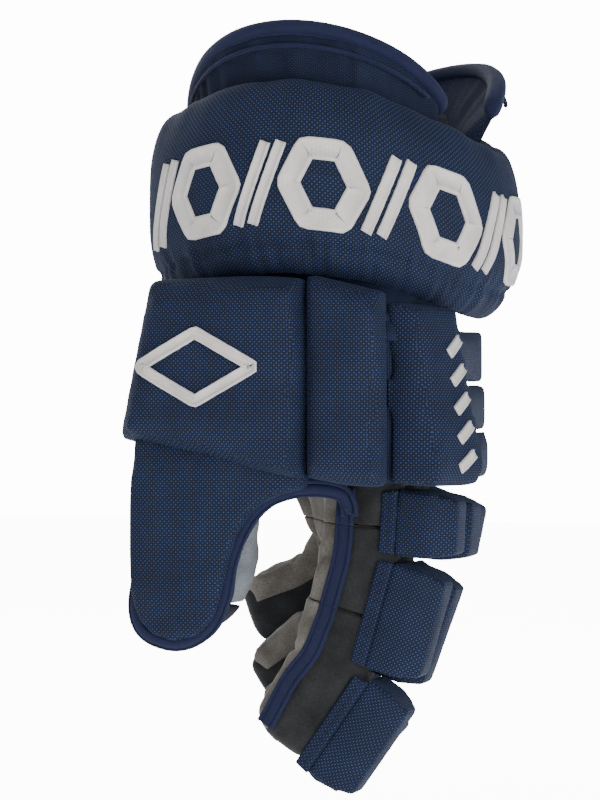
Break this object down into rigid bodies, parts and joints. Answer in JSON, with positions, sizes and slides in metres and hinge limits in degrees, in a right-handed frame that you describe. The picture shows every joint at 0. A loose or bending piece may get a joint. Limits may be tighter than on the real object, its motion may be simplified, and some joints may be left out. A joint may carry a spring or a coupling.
{
  "type": "ice hockey glove",
  "caption": "Left padded ice hockey glove with segmented rolls, flared cuff, jointed finger pads and stiff thumb, in a relaxed grip.",
  "frame": {"origin": "centre of the hand opening, level with the top of the cuff roll", "axes": "+Z out of the hand opening towards the forearm, +X towards the back of the hand, +Y towards the little finger"},
  "size_m": [0.1566, 0.1699, 0.3374],
  "materials": {
    "navy_nylon": "woven nylon, matte",
    "edge_tape": "folded edge tape",
    "black_suede": "soft suede, matte",
    "grey_suede": "soft suede, matte",
    "black_lining": "brushed lining",
    "silver_thread": "satin stitch thread",
    "white_insert": "moulded sheet"
  },
  "bodies": {
    "cuff": {"cuff_roll": "navy_nylon", "cuff_insert": "white_insert", "inner_cuff_thumb_flap": "navy_nylon", "inner_cuff_little_flap": "navy_nylon", "flap_binding_thumb": "edge_tape", "flap_binding_little": "edge_tape", "cuff_embroidery": "silver_thread", "wrist_liner": "black_lining"},
    "hand": {"back_shell": "navy_nylon", "palm": "grey_suede", "palm_overlay": "grey_suede", "back_insert": "white_insert", "thumb_side_roll": "navy_nylon", "web_roll": "navy_nylon", "index_side_roll": "navy_nylon", "little_side_roll": "navy_nylon", "back_roll_1": "navy_nylon", "back_roll_2": "navy_nylon", "back_roll_3": "navy_nylon", "side_emblem": "silver_thread", "side_stripe": "silver_thread", "web_binding": "edge_tape"},
    "thumb": {"thumb_pad": "navy_nylon", "thumb_stay": "white_insert", "thumb_sleeve": "grey_suede", "thumb_binding": "edge_tape"},
    "index_base": {"index_base_sleeve": "black_suede", "index_base_pad": "navy_nylon"},
    "index_mid": {"index_middle_sleeve": "black_suede", "index_middle_pad": "navy_nylon"},
    "index_tip": {"index_tip_sleeve": "black_suede", "index_tip_pad": "navy_nylon"},
    "middle_base": {"middle_base_sleeve": "black_suede", "middle_base_pad": "navy_nylon"},
    "middle_mid": {"middle_middle_sleeve": "black_suede", "middle_middle_pad": "navy_nylon"},
    "middle_tip": {"middle_tip_sleeve": "black_suede", "middle_tip_pad": "navy_nylon"},
    "ring_base": {"ring_base_sleeve": "black_suede", "ring_base_pad": "navy_nylon"},
    "ring_mid": {"ring_middle_sleeve": "black_suede", "ring_middle_pad": "navy_nylon"},
    "ring_tip": {"ring_tip_sleeve": "black_suede", "ring_tip_pad": "navy_nylon"},
    "little_base": {"little_base_sleeve": "black_suede", "little_base_pad": "navy_nylon"},
    "little_mid": {"little_middle_sleeve": "black_suede", "little_middle_pad": "navy_nylon"},
    "little_tip": {"little_tip_sleeve": "black_suede", "little_tip_pad": "navy_nylon"}
  },
  "joints": [
    {"name": "wrist_bend", "type": "hinge", "parent": "cuff", "child": "hand", "pos_m": [0, 0, -0.086], "axis": [0, 1, 0], "range_deg": [-8, 9]},
    {"name": "thumb_swing", "type": "hinge", "parent": "hand", "child": "thumb", "pos_m": [-0.039, -0.066, -0.153], "axis": [0, 1, 0], "range_deg": [-8, 10]},
    {"name": "index_knuckle", "type": "hinge", "parent": "hand", "child": "index_base", "pos_m": [0.026, -0.041, -0.175], "axis": [0, 1, 0], "range_deg": [-5, 30]},
    {"name": "index_bend", "type": "hinge", "parent": "index_base", "child": "index_mid", "pos_m": [0.02412, -0.041, -0.20193], "axis": [0, 1, 0], "range_deg": [-5, 40]},
    {"name": "index_tip_bend", "type": "hinge", "parent": "index_mid", "child": "index_tip", "pos_m": [0.01144, -0.041, -0.24615], "axis": [0, 1, 0], "range_deg": [-3, 24]},
    {"name": "middle_knuckle", "type": "hinge", "parent": "hand", "child": "middle_base", "pos_m": [0.026, -0.014, -0.176], "axis": [0, 1, 0], "range_deg": [-5, 30]},
    {"name": "middle_bend", "type": "hinge", "parent": "middle_base", "child": "middle_mid", "pos_m": [0.02318, -0.014, -0.20285], "axis": [0, 1, 0], "range_deg": [-5, 35]},
    {"name": "middle_tip_bend", "type": "hinge", "parent": "middle_mid", "child": "middle_tip", "pos_m": [0.00642, -0.014, -0.2489], "axis": [0, 1, 0], "range_deg": [-3, 21]},
    {"name": "ring_knuckle", "type": "hinge", "parent": "hand", "child": "ring_base", "pos_m": [0.023, 0.013, -0.174], "axis": [0, 1, 0], "range_deg": [-5, 30]},
    {"name": "ring_bend", "type": "hinge", "parent": "ring_base", "child": "ring_mid", "pos_m": [0.01759, 0.013, -0.19943], "axis": [0, 1, 0], "range_deg": [-5, 30]},
    {"name": "ring_tip_bend", "type": "hinge", "parent": "ring_mid", "child": "ring_tip", "pos_m": [-0.00625, 0.013, -0.23759], "axis": [0, 1, 0], "range_deg": [-3, 18]},
    {"name": "little_knuckle", "type": "hinge", "parent": "hand", "child": "little_base", "pos_m": [0.016, 0.04, -0.17], "axis": [0, 1, 0], "range_deg": [-5, 25]},
    {"name": "little_bend", "type": "hinge", "parent": "little_base", "child": "little_mid", "pos_m": [0.00663, 0.04, -0.19318], "axis": [0, 1, 0], "range_deg": [-5, 20]},
    {"name": "little_tip_bend", "type": "hinge", "parent": "little_mid", "child": "little_tip", "pos_m": [-0.02012, 0.04, -0.21727], "axis": [0, 1, 0], "range_deg": [-3, 12]}
  ],
  "couplings": [
    {"joint": "index_tip_bend", "follows": "index_bend", "ratio": 0.6},
    {"joint": "middle_tip_bend", "follows": "middle_bend", "ratio": 0.6},
    {"joint": "ring_tip_bend", "follows": "ring_bend", "ratio": 0.6},
    {"joint": "little_tip_bend", "follows": "little_bend", "ratio": 0.6}
  ]
}
